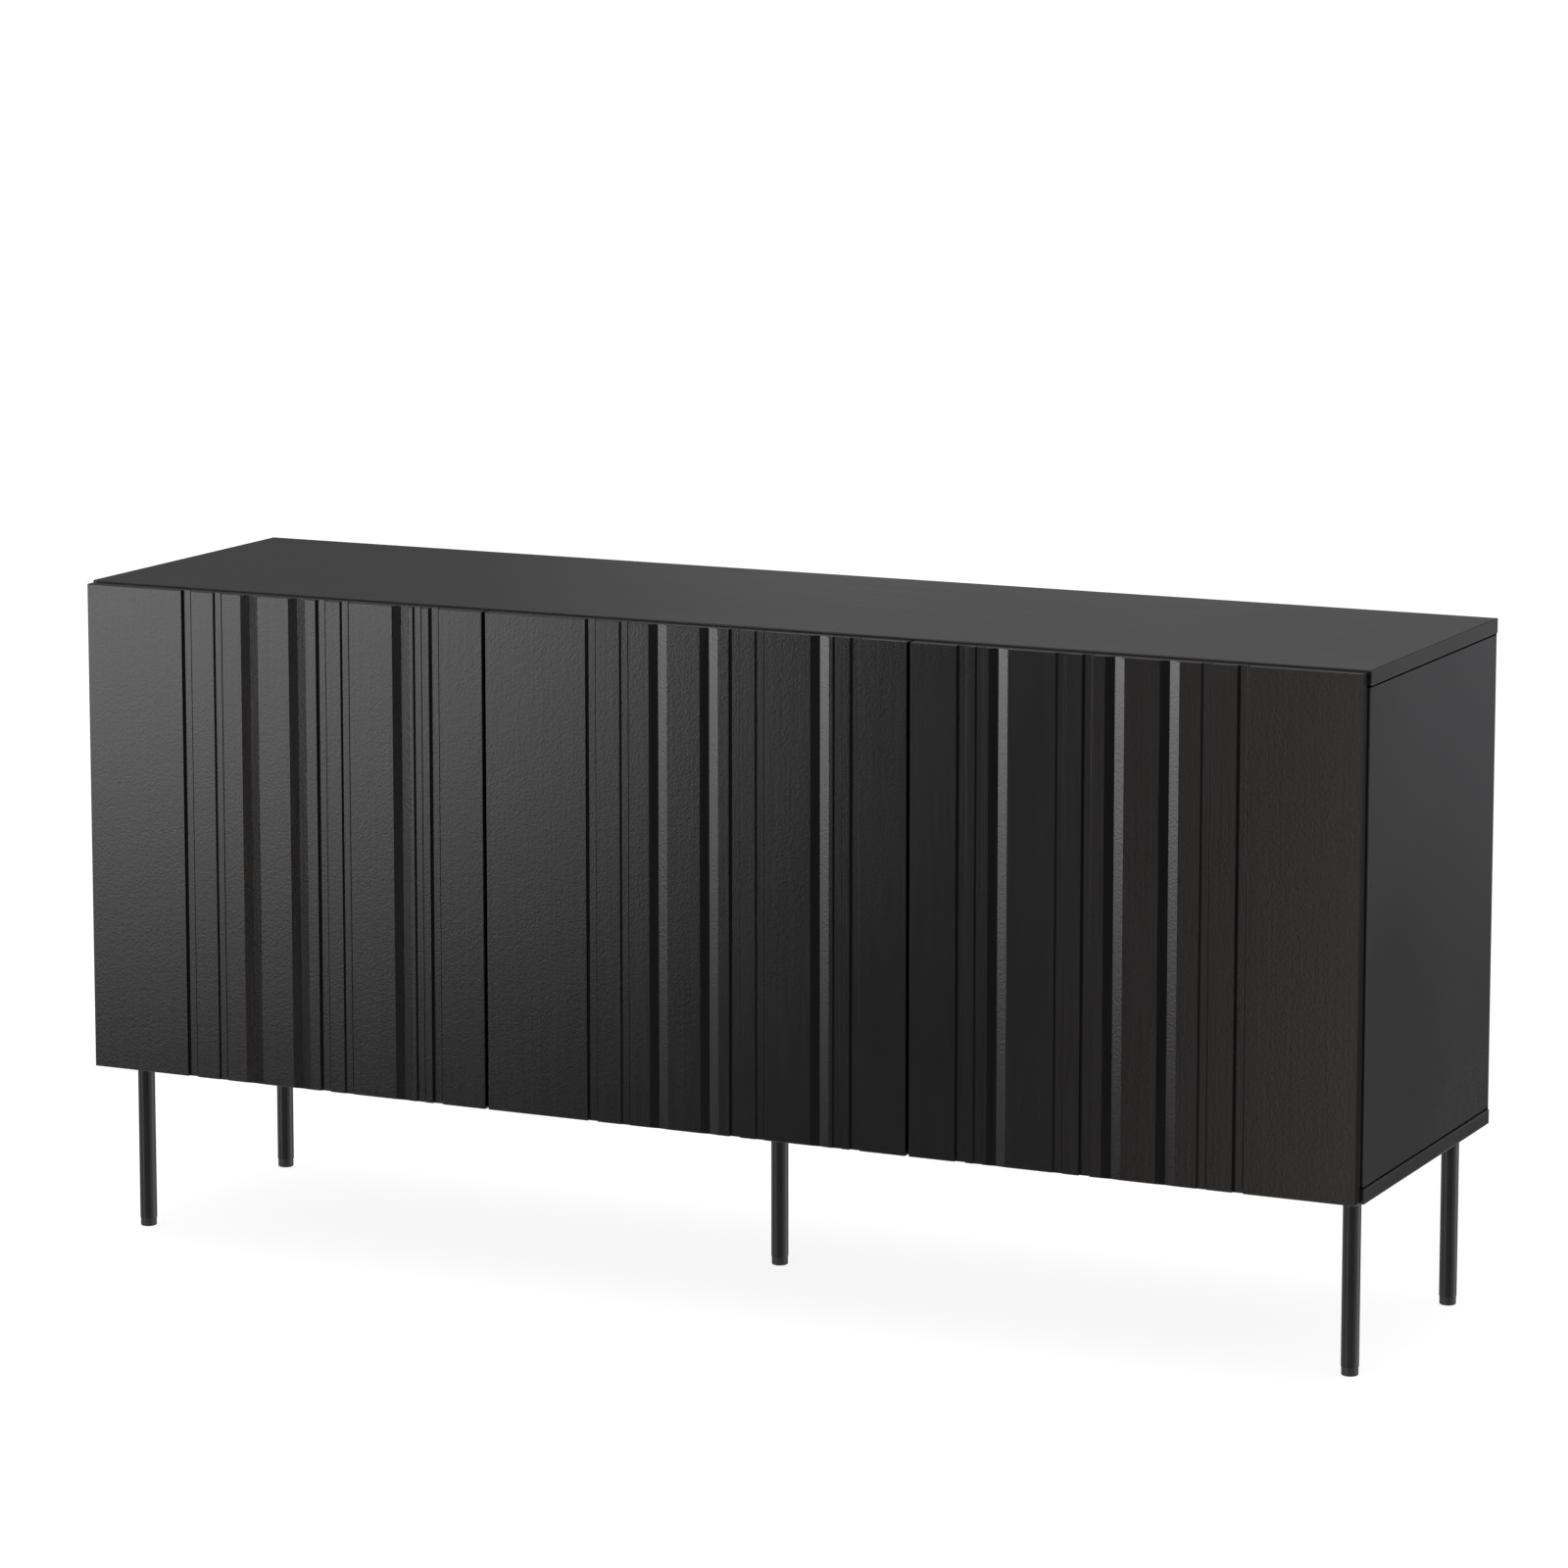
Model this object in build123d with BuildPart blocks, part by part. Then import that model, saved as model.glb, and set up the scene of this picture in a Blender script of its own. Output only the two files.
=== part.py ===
"""Three-door sideboard on five legs, in millimetres.

+Z is up, +X runs to the right along the width and +Y runs to the back. The origin lies on the
floor, under the middle of the overall width and of the overall depth, doors included.
"""

import os
from math import sqrt

from build123d import *

# Overall sizes
WIDTH = 1500.0  # across the top and bottom panels
BODY_HEIGHT = 549.0  # underside of the bottom panel to the top surface
CARCASS_DEPTH = 394.0  # front to back edge of the top panel, without the doors
LEG_HEIGHT = 193.0  # floor to the underside of the bottom panel

# Boards
BOARD = 16.0
END_SETBACK = 1.0  # side panels stand this far in from the ends of top and bottom
EDGE_ROUNDING = 0.8
BACK_THICKNESS = 3.0
BACK_REBATE_DEPTH = 3.2
BACK_REBATE_LIP = 9.0  # how far the rebate reaches into a board
BACK_PLAY = 0.2  # back panel to the rebate's wall
BACK_JOINT_GAP = 0.5  # between neighbouring back panels

# Doors
DOOR_THICKNESS = 16.0
DOOR_STANDOFF = 2.0  # back of a shut door to the carcass's front edges
DOOR_GAP = 4.0  # between neighbouring doors
DOOR_END_INSET = 3.5  # outer door edge to the end of the top panel
DOOR_TOP_INSET = 2.0
DOOR_BOTTOM_INSET = 2.0

# Door relief, milled into the front, as width and depth of each kind of cut
DEEP_CHANNEL = (12.0, 3.0)
SHALLOW_CHANNEL = (10.5, 1.4)
VALLEY = (21.5, 1.5)
RELIEF_ROUNDING = 0.6
RELIEF = [  # from the free edge: width of the flat land, then the cut that follows it
    (52.5, "deep"),
    (9.0, "shallow"),
    (4.5, "valley"),
    (53.5, "shallow"),
    (18.5, "deep"),
    (13.0, "valley"),
    (38.5, "valley"),
    (24.0, "shallow"),
    (28.5, "deep"),
]

# Shelves and their pins
SHELF_SIDE_PLAY = 1.0
SHELF_FRONT_SETBACK = 15.0
SHELF_BACK_PLAY = 1.0
PIN_RADIUS = 2.45
PIN_HOLE_RADIUS = 2.5
PIN_WEB = 2.0  # wood left between two pin holes from both faces of a partition
PIN_END_PLAY = 0.2
PIN_TOP_PLAY = 0.05  # pin shank to the underside of the shelf
PIN_PAD = (9.0, 10.0, 3.0)  # reach from the board, width, thickness
PIN_SETBACKS = (60.0, 330.0)  # behind the carcass front
PIN_ROW_PITCH = 32.0
PIN_ROWS = 5

# Board joints
DOWEL_RADIUS = 4.0
PANEL_COVER = 5.0  # wood left over a dowel or cam bolt in top and bottom panel
DOWEL_IN_UPRIGHT = 19.0
DOWEL_SETBACKS = (30.0, 330.0)
CAM_RADIUS = 7.5
CAM_HEIGHT = 12.5
CAM_FROM_END = 34.0
CAM_SETBACKS = (66.0, 295.0)
CAM_BOLT_RADIUS = 3.5
CAM_BOLT_HEAD_RADIUS = 3.2
CAM_BOLT_NECK_RADIUS = 2.0
FIT = 0.1  # radial clearance of pressed and drilled fits
END_CLEARANCE = 1.0  # a blind hole is this much deeper than what it holds

# Legs
LEG_RADIUS = 9.5
LEG_WALL = 1.5
LEG_END_PLATE = 5.0
LEG_SIDE_INSET = 29.5  # leg axis to the end of the bottom panel
LEG_FRONT_INSET = 47.0
LEG_BACK_INSET = 40.0
STUD_RADIUS = 4.0
STUD_END_PLAY = 1.5  # end of the stud to the end of its insert nut
INSERT_RADIUS = 6.0
INSERT_COVER = 3.0  # wood left over an insert nut
GLIDE_STEP = 0.5  # the glide is this much smaller than the leg all round
GLIDE_HEIGHT = 9.3
GLIDE_CHAMFER = 0.8
GLIDE_SEAT_GAP = 0.2
GLIDE_STEM_RADIUS = 3.0
GLIDE_STEM_LENGTH = 18.0
PLUG_LENGTH = 15.0

# Concealed hinges. The link's path starts at the cup pin and ends at the arm pin, and its points
# are measured from the cup's axis towards the door's free edge, and forward of the carcass front.
HINGE_FROM_DOOR_END = 100.0
CUP_RADIUS = 17.4
CUP_WALL = 0.9
CUP_EDGE_LAND = 5.1  # cup to the hinge edge of the door
CUP_DEPTH = 11.5
CUP_FLANGE = 0.8
CUP_FLANGE_RIM = 1.2  # how far the flange reaches past the cup
CUP_EAR_RADIUS = 6.0
CUP_EAR_OFFSET = 6.6  # screw axis to the cup, along the height
CUP_SCREW_OFFSET = 6.0
LINK_PATH = [(-13.1, 7.3), (-11.0, 9.9), (7.3, 10.2), (11.1, 0.0)]  # pin, two bends, pin
LINK_THICKNESS = 2.6
LINK_WIDTH = 10.0
LINK_BEND_RADIUS = 2.6
LINK_CUP_KNUCKLE = 2.2
LINK_ARM_KNUCKLE = 2.9
HINGE_PIN_RADIUS = 1.2
HINGE_PIN_PLAY = 0.1
CUP_PIN_END_PLAY = 0.2
ARM_WIDTH = 15.0
ARM_SHEET = 1.5
ARM_REACH = 66.0  # how far the arm runs back
ARM_BEND = (8.0, 24.0)  # the crank lies between these setbacks
ARM_NOSE_RADIUS = 3.2
ARM_TAIL = (4.5, 12.5)  # the tail's cheeks and web stand this far off the board
RAIL_SETBACKS = (20.0, 62.0)
RAIL_WIDTH = 11.4
PLATE_SETBACK = 37.0
PLATE_WING = (16.0, 48.0, 1.5)  # depth, height, thickness
PLATE_SCREW_SPREAD = 32.0

# Push latches
LATCH_BODY = (18.0, 75.0, 14.0)
LATCH_SETBACK = 3.0
LATCH_FROM_UPRIGHT = 17.0  # plunger axis to the board beside it
LATCH_EAR = (32.0, 12.0, 3.0)
LATCH_EAR_SETBACK = 38.0
LATCH_SCREW_SPREAD = 25.0
LATCH_ROUNDING = 1.6
PLUNGER_RADIUS = 4.0
PLUNGER_PLAY = 0.4
PLUNGER_LENGTH = 50.0
PLUNGER_TIP_GAP = 0.3
STRIKE_RADIUS = 7.0
STRIKE_THICKNESS = 1.5

# Screws: head radius, head height, shank radius, overall length
BACK_SCREW = (3.2, 1.8, 1.5, 14.0)
CUP_SCREW = (3.2, 1.8, 1.7, 12.0)
PLATE_SCREW = (3.5, 2.0, 2.0, 13.0)
LATCH_SCREW = (3.2, 1.8, 1.7, 14.0)
CROSS_RECESS = (3.6, 0.8, 0.9)  # length, width, depth
CAM_RECESS = (7.0, 1.6, 1.8)
BACK_SCREW_EDGE = 4.4  # screw axis to the edge of the back panel
BACK_SCREW_COLUMNS = (1 / 6, 1 / 2, 5 / 6)  # shares of a back panel's width
BACK_SCREW_ROWS = (1 / 3, 2 / 3)  # shares of its height

# Sizes that follow from the ones above
PIN_HOLE_DEPTH = (BOARD - PIN_WEB) / 2
PIN_SHANK_LENGTH = PIN_HOLE_DEPTH - PIN_END_PLAY
DOWEL_IN_PANEL = BOARD - PANEL_COVER
CAM_BOLT_IN_PANEL = BOARD - PANEL_COVER
INSERT_LENGTH = BOARD - INSERT_COVER
STUD_LENGTH = INSERT_LENGTH - STUD_END_PLAY
GLIDE_RADIUS = LEG_RADIUS - GLIDE_STEP
CUP_FROM_EDGE = CUP_RADIUS + CUP_EDGE_LAND
CUP_FLANGE_RADIUS = CUP_RADIUS + CUP_FLANGE_RIM
CUP_SCREW_SPREAD = 2 * (CUP_RADIUS + CUP_EAR_OFFSET)
LINK_POINTS = [(CUP_FROM_EDGE + u, v) for u, v in LINK_PATH]
CUP_PIVOT, ARM_PIVOT = LINK_POINTS[0], LINK_POINTS[-1]
CUP_PIN_REACH = CUP_FROM_EDGE - CUP_PIVOT[0] + HINGE_PIN_RADIUS  # outer side of pin to cup axis
CUP_PIN_LENGTH = 2 * (sqrt(CUP_RADIUS**2 - CUP_PIN_REACH**2) - CUP_PIN_END_PLAY)

# Levels and planes that follow from the sizes above
TOTAL_DEPTH = CARCASS_DEPTH + DOOR_STANDOFF + DOOR_THICKNESS
CARCASS_FRONT = TOTAL_DEPTH / 2 - CARCASS_DEPTH
CARCASS_BACK = TOTAL_DEPTH / 2
BACK_SEAT = CARCASS_BACK - BACK_REBATE_DEPTH
BOTTOM = LEG_HEIGHT
INNER_BOTTOM = BOTTOM + BOARD
TOP = BOTTOM + BODY_HEIGHT
INNER_TOP = TOP - BOARD
SIDE_INNER_X = WIDTH / 2 - END_SETBACK - BOARD
DOOR_WIDTH = (WIDTH - 2 * DOOR_END_INSET - 2 * DOOR_GAP) / 3
DOOR_LOW = BOTTOM + DOOR_BOTTOM_INSET
DOOR_HIGH = TOP - DOOR_TOP_INSET
PARTITION_X = DOOR_WIDTH / 2 + DOOR_GAP / 2  # a partition stands behind the gap of two doors
SHELF_BOTTOM = (INNER_BOTTOM + INNER_TOP - BOARD) / 2
PIN_Z = SHELF_BOTTOM - PIN_RADIUS - PIN_TOP_PLAY
HINGE_HEIGHTS = (DOOR_LOW + HINGE_FROM_DOOR_END, DOOR_HIGH - HINGE_FROM_DOOR_END)
PLUNGER_Z = INNER_TOP - LATCH_BODY[2] / 2
CENTRE_Y = (CARCASS_FRONT + CARCASS_BACK) / 2

UP, DOWN = (0, 0, 1), (0, 0, -1)
BACKWARD, FORWARD = (0, 1, 0), (0, -1, 0)
CUTS = {"deep": DEEP_CHANNEL, "shallow": SHALLOW_CHANNEL, "valley": VALLEY}

# Uprights: x of the board's middle and the direction that its cam locks face
UPRIGHTS = {
    "left_side_panel": (-SIDE_INNER_X - BOARD / 2, 1),
    "left_partition": (-PARTITION_X, 1),
    "right_partition": (PARTITION_X, -1),
    "right_side_panel": (SIDE_INNER_X + BOARD / 2, -1),
}
# Compartments: x of the board face at the left and at the right
BAYS = {
    "left": (-SIDE_INNER_X, -PARTITION_X - BOARD / 2),
    "middle": (-PARTITION_X + BOARD / 2, PARTITION_X - BOARD / 2),
    "right": (PARTITION_X + BOARD / 2, SIDE_INNER_X),
}
# Doors: x of the hinge edge, direction from there to the free edge, x of the board that carries
# the hinges and x of the board beside the latch
DOORS = {
    "left": (-WIDTH / 2 + DOOR_END_INSET, 1, BAYS["left"][0], BAYS["left"][1]),
    "middle": (-DOOR_WIDTH / 2, 1, BAYS["middle"][0], BAYS["middle"][1]),
    "right": (WIDTH / 2 - DOOR_END_INSET, -1, BAYS["right"][1], BAYS["right"][0]),
}
LEGS = {
    "front_left": (-WIDTH / 2 + LEG_SIDE_INSET, CARCASS_FRONT + LEG_FRONT_INSET),
    "front_right": (WIDTH / 2 - LEG_SIDE_INSET, CARCASS_FRONT + LEG_FRONT_INSET),
    "middle": (0.0, CENTRE_Y),
    "back_left": (-WIDTH / 2 + LEG_SIDE_INSET, CARCASS_BACK - LEG_BACK_INSET),
    "back_right": (WIDTH / 2 - LEG_SIDE_INSET, CARCASS_BACK - LEG_BACK_INSET),
}


# Screws of the back panels: x of the columns and the two rows in top and bottom panel
BACK_LOW = INNER_BOTTOM - BACK_REBATE_LIP + BACK_PLAY
BACK_HIGH = INNER_TOP + BACK_REBATE_LIP - BACK_PLAY
BACK_OUTER_X = SIDE_INNER_X + BACK_REBATE_LIP - BACK_PLAY
BACKS = {
    "left": (-BACK_OUTER_X, -PARTITION_X - BACK_JOINT_GAP / 2),
    "middle": (-PARTITION_X + BACK_JOINT_GAP / 2, PARTITION_X - BACK_JOINT_GAP / 2),
    "right": (PARTITION_X + BACK_JOINT_GAP / 2, BACK_OUTER_X),
}
STANDING = (Align.CENTER, Align.CENTER, Align.MIN)
SAME = 0.01  # points nearer than this lie in one plane


def save(part, name):
    """Label a finished piece and write it as its own file."""
    part.label = name
    export_step(part, f"parts/{name}.step")


def facing(points, direction):
    """Planes at the points that all face along one direction."""
    return [Plane(origin=point, z_dir=direction) for point in points]


def rods(starts, direction, radius, length, mode=Mode.ADD):
    """Add round bars to the current part, or drill holes with Mode.SUBTRACT."""
    with Locations(*facing(starts, direction)):
        Cylinder(radius, length, align=STANDING, mode=mode)


def drill(starts, direction, radius, depth):
    """Drill blind holes into the current part."""
    rods(starts, direction, radius, depth, Mode.SUBTRACT)


def screws(heads, direction, screw):
    """Add countersunk screws with a cross recess, from the middle of each head's face."""
    head_radius, head_height, radius, length = screw
    recess_length, recess_width, recess_depth = CROSS_RECESS
    rods(heads, direction, radius, length)
    with Locations(*facing(heads, direction)):
        Cone(head_radius, radius, head_height, align=STANDING)
        Box(recess_length, recess_width, recess_depth, align=STANDING, mode=Mode.SUBTRACT)
        Box(recess_width, recess_length, recess_depth, align=STANDING, mode=Mode.SUBTRACT)


def screw_holes(heads, direction, screw):
    """Cut the countersunk holes that the screws sit in."""
    head_radius, head_height, radius, length = screw
    drill(heads, direction, radius + FIT, length + END_CLEARANCE)
    with Locations(*facing(heads, direction)):
        Cone(
            head_radius + FIT,
            radius + FIT,
            head_height,
            align=STANDING,
            mode=Mode.SUBTRACT,
        )


def block(low, high, mode=Mode.ADD):
    """A box between two opposite corners."""
    size = [b - a for a, b in zip(low, high)]
    with Locations(tuple((a + b) / 2 for a, b in zip(low, high))):
        Box(*size, mode=mode)


def board(low, high):
    """A board between two opposite corners, with softly rounded edges."""
    block(low, high)
    fillet(edges(), EDGE_ROUNDING)


def same(a, b):
    """Whether two positions along one axis are the same."""
    return abs(a - b) < SAME


def behind(setback):
    """The y of a point this far behind the carcass's front edges."""
    return CARCASS_FRONT + setback


def joint_spots(setbacks, z):
    """Points on the joint faces of all uprights at one level."""
    return [(x, behind(setback), z) for x, _ in UPRIGHTS.values() for setback in setbacks]


def leg_spots(z):
    """Points on the five legs' axes at one level."""
    return [(x, y, z) for x, y in LEGS.values()]


def back_screw_spots():
    """The heads of all back panel screws, flush with the back panels' outer faces."""
    y = BACK_SEAT + BACK_THICKNESS
    found = []
    for low_x, high_x in BACKS.values():
        width, height = high_x - low_x, BACK_HIGH - BACK_LOW
        for share in BACK_SCREW_COLUMNS:
            x = low_x + share * width
            found += [(x, y, BACK_LOW + BACK_SCREW_EDGE), (x, y, BACK_HIGH - BACK_SCREW_EDGE)]
        for share in BACK_SCREW_ROWS:
            z = BACK_LOW + share * height
            found += [(low_x + BACK_SCREW_EDGE, y, z), (high_x - BACK_SCREW_EDGE, y, z)]
    return found


def latch_x(door):
    """The x of a latch's plunger."""
    _, side, _, free_board_x = DOORS[door]
    return free_board_x - side * LATCH_FROM_UPRIGHT


def latch_screw_spots():
    """The heads of the latch screws, on the ears under the top panel."""
    reach = LATCH_SCREW_SPREAD / 2
    z = INNER_TOP - LATCH_EAR[2]
    return [
        (latch_x(door) + offset, behind(LATCH_EAR_SETBACK), z)
        for door in DOORS
        for offset in (-reach, reach)
    ]


def plate_screw_spots(door):
    """The heads of one door's mounting plate screws, on the plates' outer faces."""
    _, side, board_x, _ = DOORS[door]
    x = board_x + side * PLATE_WING[2]
    reach = PLATE_SCREW_SPREAD / 2
    return [
        (x, behind(PLATE_SETBACK), z + offset)
        for z in HINGE_HEIGHTS
        for offset in (-reach, reach)
    ]


def cut_horizontal_board(joint_z, into):
    """Cut what top and bottom panel share: rebate, dowel, bolt and back screw holes."""
    far_z = joint_z + into[2] * BACK_REBATE_LIP
    rebate_x = SIDE_INNER_X + BACK_REBATE_LIP
    low, high = sorted((joint_z, far_z))
    block((-rebate_x, BACK_SEAT, low), (rebate_x, CARCASS_BACK, high), Mode.SUBTRACT)
    drill(
        joint_spots(DOWEL_SETBACKS, joint_z),
        into,
        DOWEL_RADIUS + FIT,
        DOWEL_IN_PANEL + END_CLEARANCE,
    )
    drill(
        joint_spots(CAM_SETBACKS, joint_z),
        into,
        CAM_BOLT_RADIUS + FIT,
        CAM_BOLT_IN_PANEL + END_CLEARANCE,
    )
    screw_holes([s for s in back_screw_spots() if low < s[2] < high], FORWARD, BACK_SCREW)


os.makedirs("parts", exist_ok=True)

# Top and bottom panel
with BuildPart() as top_panel:
    board((-WIDTH / 2, CARCASS_FRONT, INNER_TOP), (WIDTH / 2, CARCASS_BACK, TOP))
    cut_horizontal_board(INNER_TOP, UP)
    screw_holes(latch_screw_spots(), UP, LATCH_SCREW)
save(top_panel.part, "top_panel")

with BuildPart() as bottom_panel:
    board((-WIDTH / 2, CARCASS_FRONT, BOTTOM), (WIDTH / 2, CARCASS_BACK, INNER_BOTTOM))
    cut_horizontal_board(INNER_BOTTOM, DOWN)
    drill(leg_spots(BOTTOM), UP, INSERT_RADIUS + FIT, INSERT_LENGTH + END_CLEARANCE)
save(bottom_panel.part, "bottom_panel")


def pin_spots(board_x, levels):
    """Mouths of shelf pin holes on one board face."""
    return [(board_x, behind(setback), z) for setback in PIN_SETBACKS for z in levels]


def upright(name, middle_x, cam_side):
    """A side panel or partition with every hole that it holds."""
    low_x, high_x = middle_x - BOARD / 2, middle_x + BOARD / 2
    is_side = abs(middle_x) > SIDE_INNER_X
    outward = 1 if middle_x > 0 else -1
    back_y = CARCASS_BACK if is_side else BACK_SEAT
    levels = [PIN_Z + (row - PIN_ROWS // 2) * PIN_ROW_PITCH for row in range(PIN_ROWS)]
    with BuildPart() as panel:
        board((low_x, CARCASS_FRONT, INNER_BOTTOM), (high_x, back_y, INNER_TOP))
        if is_side:
            inner_x = outward * SIDE_INNER_X
            rebate_low, rebate_high = sorted((inner_x, inner_x + outward * BACK_REBATE_LIP))
            block(
                (rebate_low, BACK_SEAT, INNER_BOTTOM),
                (rebate_high, CARCASS_BACK, INNER_TOP),
                Mode.SUBTRACT,
            )
        for end_z, inward in ((INNER_BOTTOM, UP), (INNER_TOP, DOWN)):
            dowel_holes = [(middle_x, behind(s), end_z) for s in DOWEL_SETBACKS]
            bolt_holes = [(middle_x, behind(s), end_z) for s in CAM_SETBACKS]
            cam_z = end_z + inward[2] * CAM_FROM_END
            cam_holes = [
                (middle_x + cam_side * BOARD / 2, behind(s), cam_z) for s in CAM_SETBACKS
            ]
            drill(dowel_holes, inward, DOWEL_RADIUS + FIT, DOWEL_IN_UPRIGHT + END_CLEARANCE)
            drill(bolt_holes, inward, CAM_BOLT_RADIUS + FIT, CAM_FROM_END)
            drill(cam_holes, (-cam_side, 0, 0), CAM_RADIUS + FIT, CAM_HEIGHT + FIT)
        for face_x, into in ((low_x, (1, 0, 0)), (high_x, (-1, 0, 0))):
            if any(same(face_x, bay_x) for bay in BAYS.values() for bay_x in bay):
                drill(pin_spots(face_x, levels), into, PIN_HOLE_RADIUS, PIN_HOLE_DEPTH)
        for door, (_, side, board_x, _) in DOORS.items():
            if same(board_x, low_x) or same(board_x, high_x):
                screw_holes(plate_screw_spots(door), (-side, 0, 0), PLATE_SCREW)
        backs = [s for s in back_screw_spots() if low_x < s[0] < high_x]
        backs = [s for s in backs if INNER_BOTTOM < s[2] < INNER_TOP]
        screw_holes(backs, FORWARD, BACK_SCREW)
    save(panel.part, name)


for upright_name, (upright_x, cams_face) in UPRIGHTS.items():
    upright(upright_name, upright_x, cams_face)

# Back panels and their screws
for bay, (back_low_x, back_high_x) in BACKS.items():
    with BuildPart() as back_panel:
        block(
            (back_low_x, BACK_SEAT, BACK_LOW),
            (back_high_x, BACK_SEAT + BACK_THICKNESS, BACK_HIGH),
        )
        own_screws = [s for s in back_screw_spots() if back_low_x < s[0] < back_high_x]
        screw_holes(own_screws, FORWARD, BACK_SCREW)
    save(back_panel.part, f"{bay}_back_panel")

with BuildPart() as back_panel_screws:
    screws(back_screw_spots(), FORWARD, BACK_SCREW)
save(back_panel_screws.part, "back_panel_screws")

# Shelves and the pins that carry them
for bay, (left_x, right_x) in BAYS.items():
    with BuildPart() as shelf:
        board(
            (left_x + SHELF_SIDE_PLAY, behind(SHELF_FRONT_SETBACK), SHELF_BOTTOM),
            (right_x - SHELF_SIDE_PLAY, BACK_SEAT - SHELF_BACK_PLAY, SHELF_BOTTOM + BOARD),
        )
    save(shelf.part, f"{bay}_shelf")

with BuildPart() as shelf_pins:
    pad_reach, pad_width, pad_thickness = PIN_PAD
    for left_x, right_x in BAYS.values():
        for board_x, inward in ((left_x, 1), (right_x, -1)):
            shank_end = board_x - inward * PIN_SHANK_LENGTH
            starts = pin_spots(shank_end, [PIN_Z])
            rods(starts, (inward, 0, 0), PIN_RADIUS, PIN_SHANK_LENGTH + pad_reach)
            for setback in PIN_SETBACKS:
                near_x, far_x = sorted((board_x, board_x + inward * pad_reach))
                block(
                    (near_x, behind(setback) - pad_width / 2, SHELF_BOTTOM - pad_thickness),
                    (far_x, behind(setback) + pad_width / 2, SHELF_BOTTOM),
                )
save(shelf_pins.part, "shelf_pins")

# Dowels, cam bolts and cam locks that join the boards
JOINTS = ((INNER_BOTTOM, UP, DOWN), (INNER_TOP, DOWN, UP))  # level, into upright, into panel

with BuildPart() as dowels:
    for joint_z, into_upright, into_panel in JOINTS:
        starts = joint_spots(DOWEL_SETBACKS, joint_z + into_panel[2] * DOWEL_IN_PANEL)
        rods(starts, into_upright, DOWEL_RADIUS, DOWEL_IN_PANEL + DOWEL_IN_UPRIGHT)
save(dowels.part, "wooden_dowels")

with BuildPart() as cam_bolts:
    for joint_z, into_upright, into_panel in JOINTS:
        starts = joint_spots(CAM_SETBACKS, joint_z + into_panel[2] * CAM_BOLT_IN_PANEL)
        reach = CAM_BOLT_IN_PANEL + CAM_FROM_END
        shank = reach - CAM_RADIUS - END_CLEARANCE
        head = 2 * CAM_BOLT_NECK_RADIUS
        rods(starts, into_upright, CAM_BOLT_RADIUS, shank)
        rods(starts, into_upright, CAM_BOLT_NECK_RADIUS, reach)
        heads = [(x, y, z + into_upright[2] * (reach - head / 2)) for x, y, z in starts]
        rods(heads, into_upright, CAM_BOLT_HEAD_RADIUS, head)
save(cam_bolts.part, "cam_bolts")

with BuildPart() as cam_locks:
    for middle_x, cam_side in UPRIGHTS.values():
        face_x = middle_x + cam_side * BOARD / 2
        for joint_z, into_upright, _ in JOINTS:
            centre_z = joint_z + into_upright[2] * CAM_FROM_END
            faces = [(face_x, behind(s), centre_z) for s in CAM_SETBACKS]
            rods(faces, (-cam_side, 0, 0), CAM_RADIUS, CAM_HEIGHT)
            rim_z = centre_z - into_upright[2] * CAM_RADIUS
            mouths = [(middle_x, behind(s), rim_z) for s in CAM_SETBACKS]
            drill(mouths, into_upright, CAM_BOLT_RADIUS + FIT, CAM_RADIUS + CAM_BOLT_HEAD_RADIUS)
            with Locations(*facing(faces, (-cam_side, 0, 0))):
                length, width, depth = CAM_RECESS
                Box(length, width, depth, align=STANDING, mode=Mode.SUBTRACT)
                Box(width, length, depth, align=STANDING, mode=Mode.SUBTRACT)
save(cam_locks.part, "cam_locks")

# Legs: insert nuts in the bottom panel, tubes with studs, end plugs and levelling glides
with BuildPart() as insert_nuts:
    rods(leg_spots(BOTTOM), UP, INSERT_RADIUS, INSERT_LENGTH)
    drill(leg_spots(BOTTOM), UP, STUD_RADIUS + FIT, INSERT_LENGTH)
save(insert_nuts.part, "leg_insert_nuts")

with BuildPart() as end_plugs:
    tube_end = GLIDE_HEIGHT + GLIDE_SEAT_GAP
    rods(leg_spots(tube_end), UP, LEG_RADIUS - LEG_WALL - FIT, PLUG_LENGTH)
    drill(leg_spots(tube_end), UP, GLIDE_STEM_RADIUS + FIT, PLUG_LENGTH)
save(end_plugs.part, "leg_end_plugs")

for place, (leg_x, leg_y) in LEGS.items():
    with BuildPart() as leg:
        with Locations((leg_x, leg_y, GLIDE_HEIGHT + GLIDE_SEAT_GAP)):
            tube_length = LEG_HEIGHT - GLIDE_HEIGHT - GLIDE_SEAT_GAP
            Cylinder(LEG_RADIUS, tube_length, align=STANDING)
            Cylinder(
                LEG_RADIUS - LEG_WALL,
                tube_length - LEG_END_PLATE,
                align=STANDING,
                mode=Mode.SUBTRACT,
            )
        rods([(leg_x, leg_y, BOTTOM)], UP, STUD_RADIUS, STUD_LENGTH)
    save(leg.part, f"{place}_leg")

    with BuildPart() as glide:
        with Locations((leg_x, leg_y, 0)):
            Cylinder(GLIDE_RADIUS, GLIDE_HEIGHT, align=STANDING)
        chamfer(edges().group_by(Axis.Z)[0], GLIDE_CHAMFER)
        rods([(leg_x, leg_y, GLIDE_HEIGHT)], UP, GLIDE_STEM_RADIUS, GLIDE_STEM_LENGTH)
    save(glide.part, f"{place}_glide")


def in_plan(door, u, v):
    """Turn a distance from the hinge edge and one ahead of the carcass into x and y."""
    edge_x, side, _, _ = DOORS[door]
    return (edge_x + side * u, CARCASS_FRONT - v)


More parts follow.
